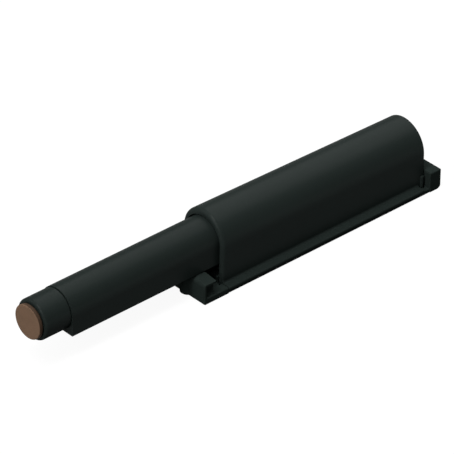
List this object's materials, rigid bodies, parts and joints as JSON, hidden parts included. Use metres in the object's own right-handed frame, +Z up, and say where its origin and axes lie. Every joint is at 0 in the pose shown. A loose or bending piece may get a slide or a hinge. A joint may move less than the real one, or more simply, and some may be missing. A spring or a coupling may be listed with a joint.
{
  "type": "cabinet door damper",
  "caption": "Plunger-type cabinet door damper: an arched housing clipped to a screw-on plate guides a sprung, oil-damped plunger with a soft buffer on its tip.",
  "frame": {"origin": "midway between the two screw holes, on the plate's underside", "axes": "X along the damper with the buffer at -X and the closed end at +X, Z up out of the plate"},
  "size_m": [0.1139, 0.0176, 0.0172],
  "materials": {
    "plate_plastic": "moulded black plastic, satin",
    "housing_plastic": "moulded charcoal plastic, satin",
    "plunger_plastic": "moulded charcoal plastic, satin",
    "buffer": "soft brown buffer, matt",
    "acetal": "natural acetal",
    "steel": "bright drawn steel",
    "aluminium": "drawn tube",
    "brass": "stamped sheet",
    "rubber": "moulded rubber, matt",
    "foam": "closed-cell foam"
  },
  "bodies": {
    "base": {"mounting_plate": "plate_plastic", "housing": "housing_plastic", "rod_anchor": "acetal", "anchor_clip": "steel", "piston_rod": "steel", "piston": "acetal", "piston_ring": "rubber", "valve_disc": "brass", "piston_clip": "steel", "return_spring": "steel", "rebound_pad": "rubber"},
    "slider": {"plunger": "plunger_plastic", "tip_sleeve": "plunger_plastic", "buffer_pad": "buffer", "damper_cylinder": "aluminium", "cylinder_plug": "acetal", "plug_seal": "rubber", "compensator": "foam", "rod_guide": "acetal", "rod_seal": "rubber", "seal_washer": "steel", "end_ring": "steel", "spring_seat": "acetal"}
  },
  "joints": [
    {"name": "plunger_slide", "type": "slide", "parent": "base", "child": "slider", "axis": [1, 0, 0], "range_m": [0, 0.033], "stiffness_N_per_m": 60, "springref_m": -0.02, "deforming": ["return_spring"]}
  ]
}
